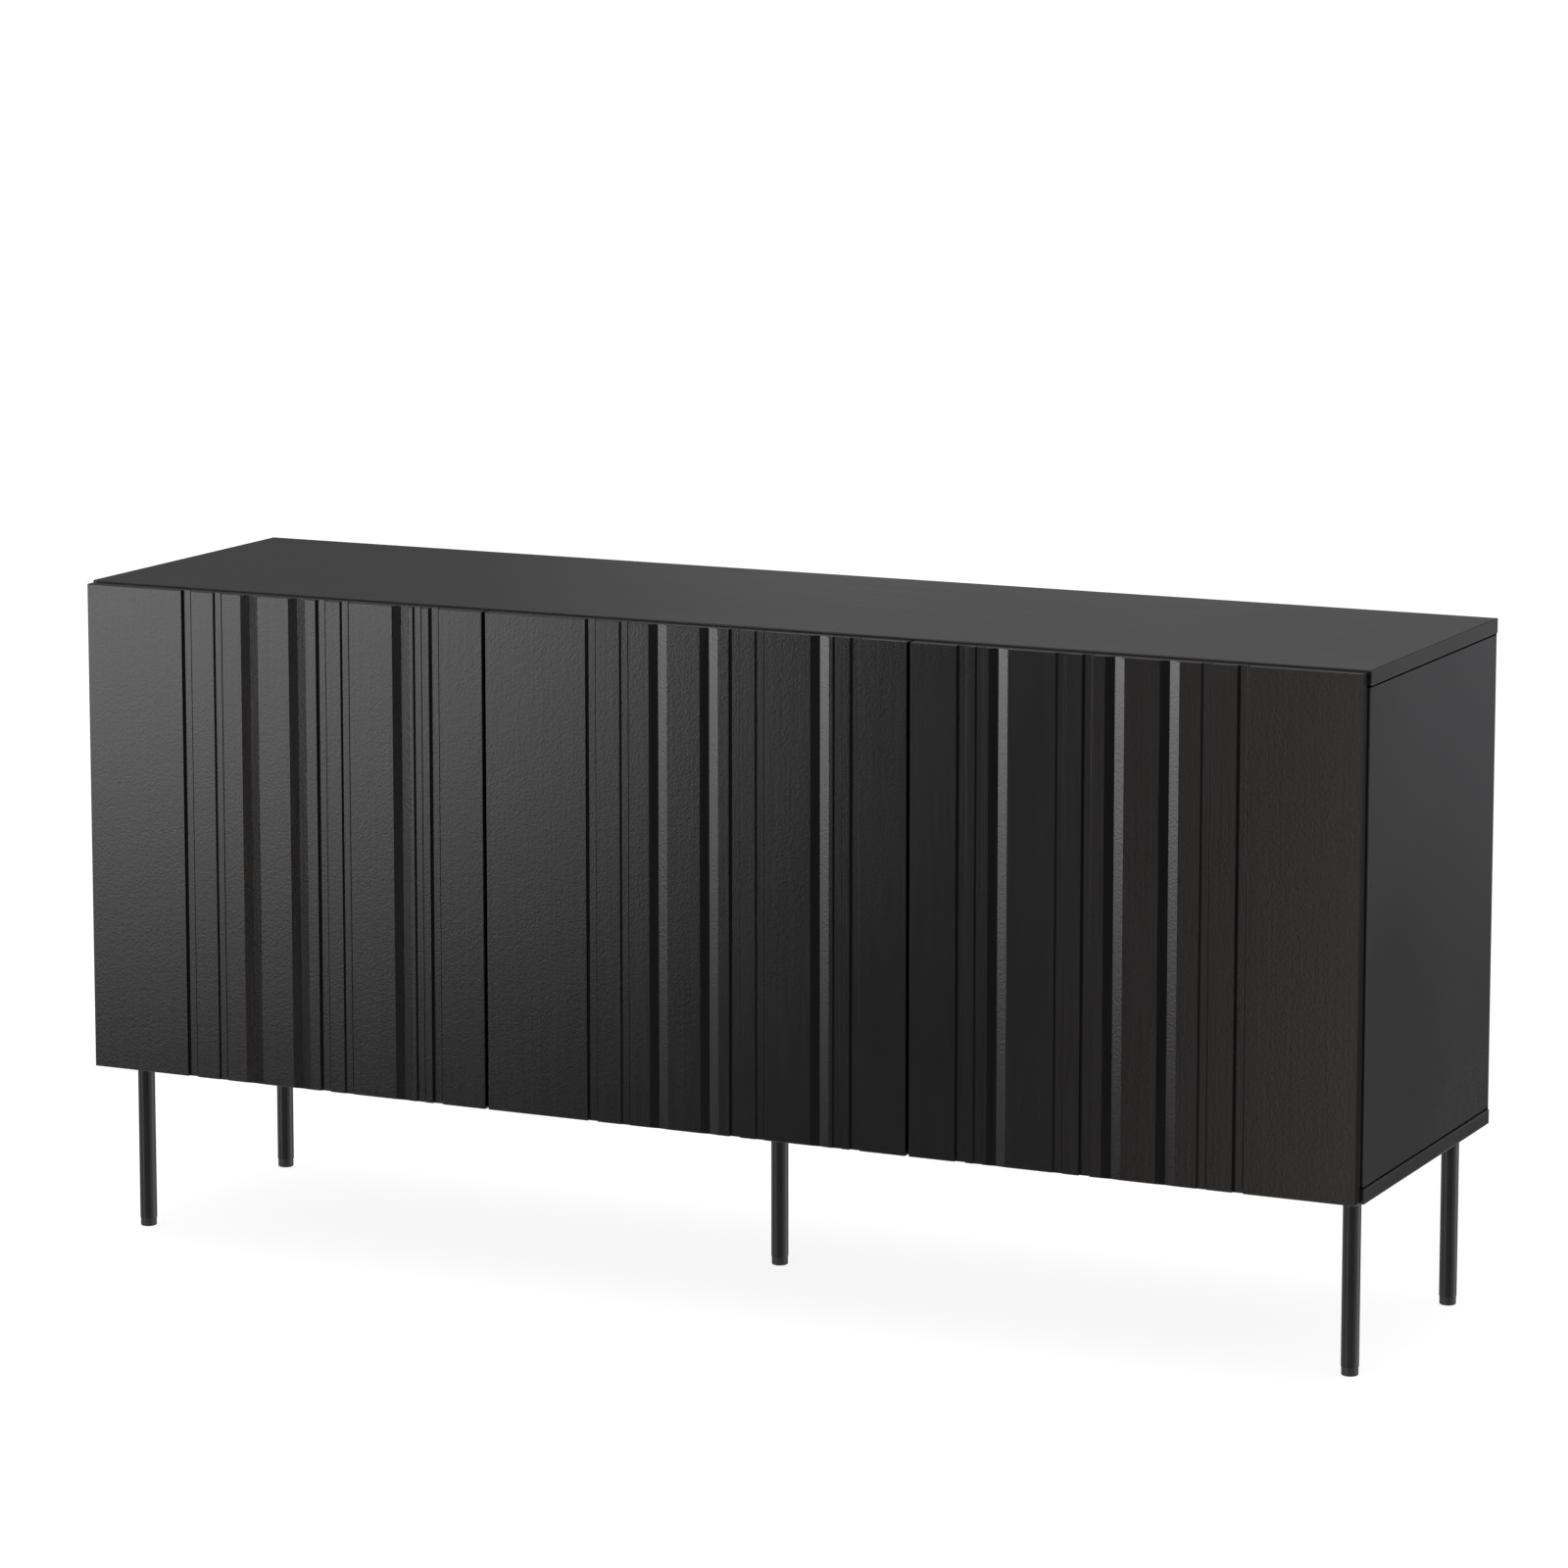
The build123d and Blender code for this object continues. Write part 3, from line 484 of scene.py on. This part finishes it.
@dataclass(frozen=True)
class Lacquer(Finish):
    """Satin lacquer on milled board, with a spray texture and faint cutter strokes.

    The cuts are the channels' low and high X and the width of the bank of lacquer that pools
    along the corners at their bottom. Mottle, combing and polish say how far the roughness
    follows clouds, strokes and rims.
    """

    strokes: Noise = Noise(260.0, 3.0)
    clouds: Noise = Noise(4.0, 3.0)
    droplets: Noise = Noise(420.0, 3.0)
    cast: float = 0.25
    mottle: float = 0.03
    combing: float = 0.04
    polish: float = 0.03
    spray: float = 0.00005
    stroke_depth: float = 0.4
    crest: float = 0.0007
    # The rims' painted highlight: how strongly it lightens the lacquer, and its colour.
    highlight_strength: float = 0.25
    highlight_colour: Colour = (0.06, 0.058, 0.055)
    eased: float = 0.0003
    pooled: float = 0.0011
    lip: float = 0.0003
    front_skin: float = 0.006
    cuts: tuple[tuple[float, float, float], ...] = ()

    def surface(self, graph: Graph, place: Value, box: Box | None) -> Look:
        """Spray texture, strokes along the height, glossier rims with a painted highlight.

        Args:
            graph: The material's graph.
            place: The position on the door.
            box: The door's lowest and highest corner.

        Returns:
            Base colour, roughness and normal.
        """
        strokes = graph.noise(graph.scaled(place, Grain.Z.value), self.strokes)
        clouds = graph.noise(place, self.clouds)
        droplets = graph.noise(place, self.droplets)
        rim = graph.steps(edge_distance(graph, place, box), 0.0, self.crest, 1.0, 0.0)
        lacquer = self.toned(graph, clouds * 0.5 + strokes * 0.5, self.cast)
        # Painted highlight: the rims are lightened into a light line where the rounded edges would
        # catch the light.
        colour = graph.blend(rim * self.highlight_strength, lacquer, self.highlight_colour)
        dullness = (clouds - 0.5) * self.mottle + (strokes - 0.5) * self.combing
        roughness = self.roughness + dullness - rim * self.polish
        relief = droplets + strokes * self.stroke_depth - rim * (self.eased / self.spray)
        if self.cuts:
            relief = relief - self._sunk(graph, place, box) * (self.pooled / self.spray)
        return colour, roughness, self.bumped(graph, relief, self.spray)

    def _sunk(self, graph: Graph, place: Value, box: Box) -> Signal:
        """1 inside the channels and 0 on the lands and on the back, with banked steps between.

        Args:
            graph: The material's graph.
            place: The position on the door.
            box: The door's lowest and highest corner.

        Returns:
            How far the point counts as sunk.
        """
        across = graph.axis(place, 0)
        sunk: Value = 0.0
        for low, high, bank in self.cuts:
            start = graph.steps(across, low - self.lip, low + bank)
            end = graph.steps(across, high - bank, high + self.lip, 1.0, 0.0)
            sunk = start * end + sunk
        front = box[0].y + self.front_skin
        return sunk * graph.steps(graph.axis(place, 1), front, front + MILLIMETRE, 1.0, 0.0)


@dataclass(frozen=True)
class PaintedHardboard(Finish):
    """Thin pressed board under a thin coat of paint, with its felted fibres and bare cut edges."""

    long_fibres: Noise = Noise(900.0, 4.0)
    cross_fibres: Noise = Noise(700.0, 4.0)
    clouds: Noise = Noise(5.0, 4.0)
    felt_share: float = 0.6
    cast: float = 0.45
    mottle: float = 0.25
    felting: float = 0.0002
    bare: tuple[float, float] = (0.0006, 0.002)
    bare_colour: Colour = (0.006, 0.005, 0.004)
    bare_depth: float = 2.0

    def surface(self, graph: Graph, place: Value, box: Box | None) -> Look:
        """Felted fibres in both directions over broad clouds, dark along the cut edges.

        Args:
            graph: The material's graph.
            place: The position on the back.
            box: The back's lowest and highest corner.

        Returns:
            Base colour, roughness and normal.
        """
        along = graph.noise(graph.scaled(place, Grain.Z.value), self.long_fibres)
        across = graph.noise(graph.scaled(place, Grain.X.value), self.cross_fibres)
        clouds = graph.noise(place, self.clouds)
        felt = along * 0.5 + across * 0.5
        cut = graph.steps(edge_distance(graph, place, box), *self.bare, 1.0, 0.0)
        tone = felt * self.felt_share + clouds * (1 - self.felt_share)
        colour = graph.blend(cut, self.toned(graph, tone, self.cast), self.bare_colour)
        roughness = self.roughness + (felt - 0.5) * self.mottle
        return colour, roughness, self.bumped(graph, felt - cut * self.bare_depth, self.felting)


@dataclass(frozen=True)
class PowderCoat(Finish):
    """Baked powder coat on steel tube, with its fine pebbled skin."""

    pebbles: Noise = Noise(1500.0)
    clouds: Noise = Noise(14.0, 3.0)
    cast: float = 0.25
    mottle: float = 0.12
    pebble: float = 0.00005

    def surface(self, graph: Graph, place: Value, box: Box | None) -> Look:
        """Pebbles over slow clouds of gloss.

        Args:
            graph: The material's graph.
            place: The position on the tube.
            box: Not used, because the finish is the same near edges.

        Returns:
            Base colour, roughness and normal.
        """
        pebbles = graph.noise(place, self.pebbles)
        clouds = graph.noise(place, self.clouds)
        colour = self.toned(graph, clouds * 0.5 + pebbles * 0.5, self.cast)
        roughness = self.roughness + (clouds - 0.5) * self.mottle
        return colour, roughness, self.bumped(graph, pebbles, self.pebble)


@dataclass(frozen=True)
class PlatedSteel(Finish):
    """Stamped and plated steel, with drawing lines and dull patches in the plating."""

    grain: Grain = Grain.X
    lines: Noise = Noise(2600.0, 3.0)
    patches: Noise = Noise(90.0, 4.0)
    patch_share: float = 0.7
    cast: float = 0.14
    mottle: float = 0.22
    scratching: float = 0.15
    line_depth: float = 0.00002

    def surface(self, graph: Graph, place: Value, box: Box | None) -> Look:
        """Fine drawing lines, and patches where the plating is duller.

        Args:
            graph: The material's graph.
            place: The position on the fitting.
            box: Not used, because the finish is the same near edges.

        Returns:
            Base colour, roughness and normal.
        """
        lines = graph.noise(graph.scaled(place, self.grain.value), self.lines)
        patches = graph.noise(place, self.patches)
        tone = patches * self.patch_share + lines * (1 - self.patch_share)
        dullness = (patches - 0.5) * self.mottle + (lines - 0.5) * self.scratching
        relief = self.bumped(graph, lines, self.line_depth)
        return self.toned(graph, tone, self.cast), self.roughness + dullness, relief


@dataclass(frozen=True)
class MouldedPlastic(Finish):
    """Moulded plastic with the eroded texture of its mould."""

    grit: Noise = Noise(2400.0, 3.0)
    flow: Noise = Noise(60.0, 3.0)
    cast: float = 0.18
    eroding: float = 0.15
    mottle: float = 0.1
    grit_depth: float = 0.00004

    def surface(self, graph: Graph, place: Value, box: Box | None) -> Look:
        """An eroded texture with slow flow marks.

        Args:
            graph: The material's graph.
            place: The position on the moulding.
            box: Not used, because the finish is the same near edges.

        Returns:
            Base colour, roughness and normal.
        """
        grit = graph.noise(place, self.grit)
        flow = graph.noise(place, self.flow)
        colour = self.toned(graph, flow, self.cast)
        dullness = (grit - 0.5) * self.eroding + (flow - 0.5) * self.mottle
        return colour, self.roughness + dullness, self.bumped(graph, grit, self.grit_depth)


@dataclass(frozen=True)
class RawBeech(Finish):
    """Bare beech with fine rays and growth lines."""

    grain: Grain = Grain.Z
    growth: Noise = Noise(900.0, 4.0)
    flecks: Noise = Noise(3000.0)
    fleck_range: tuple[float, float] = (0.6, 0.72)
    fleck_strength: float = 0.5
    fleck_colour: Colour = (0.36, 0.21, 0.11)
    cast: float = 0.2
    fleck_dullness: float = 0.1
    line_depth: float = 0.0001

    def surface(self, graph: Graph, place: Value, box: Box | None) -> Look:
        """Growth lines along the grain with short dark rays.

        Args:
            graph: The material's graph.
            place: The position on the dowel.
            box: Not used, because the finish is the same near edges.

        Returns:
            Base colour, roughness and normal.
        """
        lines = graph.noise(graph.scaled(place, self.grain.value), self.growth)
        flecks = graph.noise(graph.scaled(place, self.grain.value), self.flecks)
        rays = graph.steps(flecks, *self.fleck_range)
        strength = rays * self.fleck_strength
        colour = graph.blend(strength, self.toned(graph, lines, self.cast), self.fleck_colour)
        relief = self.bumped(graph, lines - strength, self.line_depth)
        return colour, self.roughness + rays * self.fleck_dullness, relief


FINISHES: dict[Slot, Finish] = {
    Slot.CARCASS: BoardFoil("matt_black_foil", (0.010, 0.010, 0.0108), 0.25),
    Slot.DOOR: Lacquer("satin_black_lacquer", (0.0036, 0.0034, 0.0034), 0.155),
    Slot.BACK: PaintedHardboard("painted_hardboard", (0.034, 0.033, 0.033), 0.7),
    Slot.LEG: PowderCoat("black_powder_coat", (0.0085, 0.0078, 0.0076), 0.24),
    Slot.GLIDE: MouldedPlastic("black_glide_plastic", (0.006, 0.006, 0.006), 0.42),
    Slot.NICKEL: PlatedSteel("nickel_plate", (0.62, 0.60, 0.56), 0.28, 1.0),
    Slot.ZINC: PlatedSteel("zinc_plate", (0.52, 0.53, 0.55), 0.42, 1.0, grain=Grain.Z),
    Slot.BLACK_SCREW: PlatedSteel("black_zinc", (0.05, 0.05, 0.052), 0.38, 0.6),
    Slot.BEECH: RawBeech("bare_beech", (0.56, 0.38, 0.22), 0.6),
    Slot.LATCH: MouldedPlastic("dark_latch_plastic", (0.03, 0.03, 0.032), 0.45),
    Slot.PLUNGER: MouldedPlastic("grey_plunger_plastic", (0.3, 0.3, 0.31), 0.4),
}


class Dresser:
    """Puts finishes on pieces, and keeps those that need no box for the next piece."""

    def __init__(self) -> None:
        """Starts with no material made."""
        self.shared: dict[Finish, bpy.types.Material] = {}

    def material(self, finish: Finish, box: Box | None) -> bpy.types.Material:
        """The finish's material, made afresh only where it follows a piece's box.

        Args:
            finish: The finish.
            box: The piece's corners, if the finish changes near its edges.

        Returns:
            The material.
        """
        if box is not None:
            return finish.material(box)
        if finish not in self.shared:
            self.shared[finish] = finish.material()
        return self.shared[finish]

    def dress(
        self, node: str, slot: Slot, edged: bool = False, finish: Finish | None = None
    ) -> bpy.types.Object:
        """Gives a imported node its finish.

        Args:
            node: The node's name.
            slot: Its finish's name in the record.
            edged: Whether the finish changes near the node's edges.
            finish: A finish of the node's own, instead of the slot's.

        Returns:
            The node's object.
        """
        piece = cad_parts[node]
        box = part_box(node) if edged else None
        piece.data.materials.clear()
        finish = finish or FINISHES[slot]
        piece.data.materials.append(self.material(finish, box))
        LOG.info("%s dressed in %s", node, finish.name)
        return piece


# ---------------------------------------------------------------- sub-assemblies


@dataclass
class Carcass:
    """The body: boards, backs, shelves and the fittings that join them."""

    dresser: Dresser
    boards: tuple[str, ...] = (
        "top_panel",
        "bottom_panel",
        "left_partition",
        "right_partition",
        "left_shelf",
        "middle_shelf",
        "right_shelf",
    )
    sides: tuple[str, ...] = ("left_side_panel", "right_side_panel")
    # How far the painted joint shadow reaches along the sides' upper and lower ends, in metres.
    joint: float = 0.0018
    backs: tuple[str, ...] = ("left_back_panel", "middle_back_panel", "right_back_panel")
    fittings: dict[str, Slot] = field(
        default_factory=lambda: {
            "back_panel_screws": Slot.BLACK_SCREW,
            "shelf_pins": Slot.NICKEL,
            "wooden_dowels": Slot.BEECH,
            "cam_bolts": Slot.ZINC,
            "cam_locks": Slot.ZINC,
            "leg_insert_nuts": Slot.ZINC,
        }
    )

    def build(self) -> None:
        """Dresses the boards, the backs and the fittings."""
        for board in self.boards:
            self.dresser.dress(board, Slot.CARCASS, edged=True)
        for side in self.sides:
            jointed = replace(FINISHES[Slot.CARCASS], joint=self.joint)
            self.dresser.dress(side, Slot.CARCASS, edged=True, finish=jointed)
        for back in self.backs:
            self.dresser.dress(back, Slot.BACK, edged=True)
        for fitting, slot in self.fittings.items():
            self.dresser.dress(fitting, slot)


@dataclass
class Legs:
    """Five steel tubes, each with its end plug and a glide that screws out."""

    dresser: Dresser
    places: tuple[str, ...] = ("front_left", "front_right", "middle", "back_left", "back_right")

    def build(self) -> None:
        """Dresses the tubes, the plugs and the glides."""
        for place in self.places:
            self.dresser.dress(f"{place}_leg", Slot.LEG)
            self.dresser.dress(f"{place}_glide", Slot.GLIDE)
        self.dresser.dress("leg_end_plugs", Slot.GLIDE)


@dataclass
class Door:
    """One door with its two concealed hinges and its push latch."""

    dresser: Dresser
    place: str
    steel: tuple[str, ...] = ("hinge_cups", "cup_pins", "hinge_links", "hinge_arms")
    relief: tuple[tuple[float, Cut], ...] = (
        (0.0525, Cut.DEEP),
        (0.0090, Cut.SHALLOW),
        (0.0045, Cut.VALLEY),
        (0.0535, Cut.SHALLOW),
        (0.0185, Cut.DEEP),
        (0.0130, Cut.VALLEY),
        (0.0385, Cut.VALLEY),
        (0.0240, Cut.SHALLOW),
        (0.0285, Cut.DEEP),
    )

    def build(self) -> None:
        """Dresses the panel, the hinges and the latch."""
        lacquer = replace(FINISHES[Slot.DOOR], cuts=self.channels())
        self.dresser.dress(f"{self.place}_door", Slot.DOOR, edged=True, finish=lacquer)
        for part in self.steel:
            self.dresser.dress(f"{self.place}_{part}", Slot.NICKEL)
        self.dresser.dress(f"{self.place}_cup_screws", Slot.NICKEL)
        self.dresser.dress(f"{self.place}_strike_plate", Slot.ZINC)
        self.dresser.dress(f"{self.place}_latch_housing", Slot.LATCH)
        self.dresser.dress(f"{self.place}_latch_plunger", Slot.PLUNGER)

    def channels(self) -> tuple[tuple[float, float, float], ...]:
        """Finds the door's channels.

        Returns:
            Each channel's low and high X and the width of its banks. The relief is counted from
            the free edge, which is the right door's left one.
        """
        low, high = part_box(f"{self.place}_door")
        start, way = (low.x, 1.0) if self.place == "right" else (high.x, -1.0)
        found, reach = [], 0.0
        for land, cut in self.relief:
            width, bank = cut.value
            near, far = start + way * (reach + land), start + way * (reach + land + width)
            if bank:
                found.append((min(near, far), max(near, far), bank))
            reach += land + width
        return tuple(found)


@dataclass
class Fittings:
    """Hinge and latch parts that stay on the body."""

    dresser: Dresser
    parts: tuple[str, ...] = (
        "hinge_mounting_plates",
        "hinge_plate_screws",
        "hinge_arm_pins",
        "latch_screws",
    )

    def build(self) -> None:
        """Dresses the plates, pins and screws."""
        for part in self.parts:
            self.dresser.dress(part, Slot.NICKEL)


# ---------------------------------------------------------------------- studio


@dataclass(frozen=True)
class Glow:
    """A bright patch of the room with soft edges, far away from the object.

    Its heading counts to the left from straight out of the doors. Heading, rise, reach and
    softness are in degrees, and the last two are given sideways and upwards.
    """

    name: str
    heading: float
    rise: float
    reach: tuple[float, float]
    softness: tuple[float, float]
    radiance: float
    colour: Colour = WHITE

    def shine(self, graph: Graph, direction: Value, height: Signal) -> bpy.types.NodeSocket:
        """The light that comes from the patch.

        Args:
            graph: The room's graph.
            direction: The direction that is looked in.
            height: How many degrees it rises above the horizon.

        Returns:
            The patch's colour there, black outside it.
        """
        turn = math.radians(self.heading)
        ahead = (-math.sin(turn), -math.cos(turn), 0.0)
        left = (-math.cos(turn), math.sin(turn), 0.0)
        aside = graph.math("ARCTAN2", graph.along(direction, left), graph.along(direction, ahead))
        sideways = self._within(graph, aside * DEGREES, 0)
        weight = sideways * self._within(graph, height - self.rise, 1)
        light = tuple(channel * self.radiance for channel in self.colour)
        scaled = graph.add("VectorMath", {"operation": "SCALE"}, Vector=light, Scale=weight)
        return scaled.outputs[0]

    def _within(self, graph: Graph, offset: Signal, axis: int) -> Signal:
        """1 inside the patch along one axis and 0 outside it."""
        reach, soft = self.reach[axis], self.softness[axis]
        return graph.steps(abs(offset), reach - soft, reach + soft, 1.0, 0.0)


@dataclass
class Studio:
    """A pale floor in a dim room with soft bright patches.

    The room is given as how bright it is at heights from straight down to straight up, in
    degrees.
    """

    floor_radius: float = 70.0
    floor_segments: int = 96
    floor_colour: Colour = (0.25, 0.25, 0.25)
    floor_roughness: float = 0.9
    floor_specular: float = 0.1
    floor_glow: float = 0.88
    room: tuple[tuple[float, float], ...] = (
        (-90.0, 1.00),
        (-26.0, 1.10),
        (-15.5, 0.05),
        (-6.0, 0.03),
        (0.0, 0.055),
        (30.0, 0.30),
        (90.0, 1.80),
    )
    glows: tuple[Glow, ...] = (
        Glow("key", 35.5, -1.0, (8.5, 9.5), (2.2, 2.7), 3.8),
        Glow("key_core", 39.5, -2.0, (4.5, 7.5), (1.5, 2.0), 2.2),
        Glow("warm_strip", 18.4, -8.0, (1.5, 11.0), (0.6, 2.7), 1.6, (1.09, 0.98, 0.93)),
        Glow("rear_right", -171.5, -2.5, (6.0, 8.7), (6.0, 2.3), 1.0, (0.99, 0.985, 1.04)),
        Glow("rear", 168.0, 2.0, (15.0, 6.5), (2.0, 3.3), 0.24, (1.02, 0.99, 1.0)),
        Glow("front_fill", -8.0, 8.0, (24.0, 12.0), (4.0, 1.8), 1.1),
        Glow("right_fill", -90.0, 4.0, (30.0, 18.0), (12.0, 8.0), 1.0),
        Glow("left_fill", 90.0, 4.0, (26.0, 18.0), (12.0, 8.0), 1.0),
        Glow("rear_floor", -124.0, -10.0, (22.0, 16.0), (12.0, 9.0), 1.2),
    )

    def build(self) -> None:
        """Lays the floor and lights the room."""
        self.lay_floor()
        self.light_room()

    def lay_floor(self) -> bpy.types.Object:
        """Makes the floor, a pale disc that seems lit through when looked at.

        Returns:
            The floor's object. It is only there to be seen, and the light comes from all round.
        """
        mesh = bpy.data.meshes.new("studio_floor")
        disc = bmesh.new()
        outline = {"radius": self.floor_radius, "segments": self.floor_segments}
        bmesh.ops.create_circle(disc, cap_ends=True, **outline)
        disc.to_mesh(mesh)
        disc.free()
        paint = bpy.data.materials.new("pale_floor")
        paint.use_nodes = True
        graph = Graph(paint.node_tree)
        shader = graph.add(
            "BsdfPrincipled",
            Base_Color=self.floor_colour,
            Roughness=self.floor_roughness,
            Specular_IOR_Level=self.floor_specular,
            Emission_Color=WHITE,
            Emission_Strength=self.floor_glow,
        )
        graph.add("OutputMaterial", Surface=shader.outputs[0])
        mesh.materials.append(paint)
        floor = bpy.data.objects.new("studio_floor", mesh)
        floor.visible_diffuse = False
        floor.visible_glossy = False
        floor.visible_shadow = False
        bpy.context.scene.collection.objects.link(floor)
        LOG.info("floor laid")
        return floor

    def light_room(self) -> None:
        """Lights the room round the object, and shows a white backdrop to the camera."""
        world = bpy.data.worlds.new("studio_room")
        world.use_nodes = True
        graph = Graph(world.node_tree)
        direction = graph.add("TexCoord").outputs["Generated"]
        height = graph.math("ARCSINE", graph.axis(direction, 2)) * DEGREES
        stops = [(self._up(rise), (level, level, level)) for rise, level in self.room]
        light = graph.add("ValToRGB", {"stops": stops}, Fac=self._up(height)).outputs[0]
        for glow in self.glows:
            lights = {"Vector": light, "Vector_001": glow.shine(graph, direction, height)}
            light = graph.add("VectorMath", {"operation": "ADD"}, **lights).outputs[0]
            LOG.info("%s light hung", glow.name)
        seen = graph.signal(graph.add("LightPath"))
        colour = graph.blend(seen, light, WHITE)
        backdrop = graph.add("Background", Color=colour, Strength=1.0)
        graph.add("OutputWorld", Surface=backdrop.outputs[0])
        bpy.context.scene.world = world
        bpy.context.scene.view_settings.view_transform = "Standard"

    @staticmethod
    def _up(rise: Value) -> Value:
        """The way from straight down to straight up, as 0 to 1, from degrees above the horizon."""
        return (rise + RIGHT_ANGLE) / (2 * RIGHT_ANGLE)


@dataclass(frozen=True)
class Viewpoint:
    """The camera's place and aim, with angles in degrees and the lens in millimetres."""

    place: Point = (2.691, -5.64, 1.649)
    yaw: float = 25.43
    pitch: float = 8.53
    lens: float = 133.8
    sensor: float = 36.0
    lift: float = -0.1
    sight: float = 300.0

    def build(self) -> bpy.types.Object:
        """Makes the camera and hands it to the scene.

        Returns:
            The camera's object.
        """
        data = bpy.data.cameras.new("view")
        data.sensor_width = self.sensor
        data.lens = self.lens
        data.shift_y = self.lift
        data.clip_end = self.sight
        camera = bpy.data.objects.new("view", data)
        camera.location = self.place
        tilt = math.radians(RIGHT_ANGLE - self.pitch)
        camera.rotation_euler = (tilt, 0.0, math.radians(self.yaw))
        bpy.context.scene.collection.objects.link(camera)
        bpy.context.scene.camera = camera
        LOG.info("camera placed")
        return camera


def main() -> None:
    """Dresses the sideboard, lights it, and places the camera."""
    logging.basicConfig(level=logging.INFO, format="%(name)s: %(message)s")
    dresser = Dresser()
    Carcass(dresser).build()
    Legs(dresser).build()
    for place in ("left", "middle", "right"):
        Door(dresser, place).build()
    Fittings(dresser).build()
    Studio().build()
    Viewpoint().build()


if __name__ == "__main__":
    main()
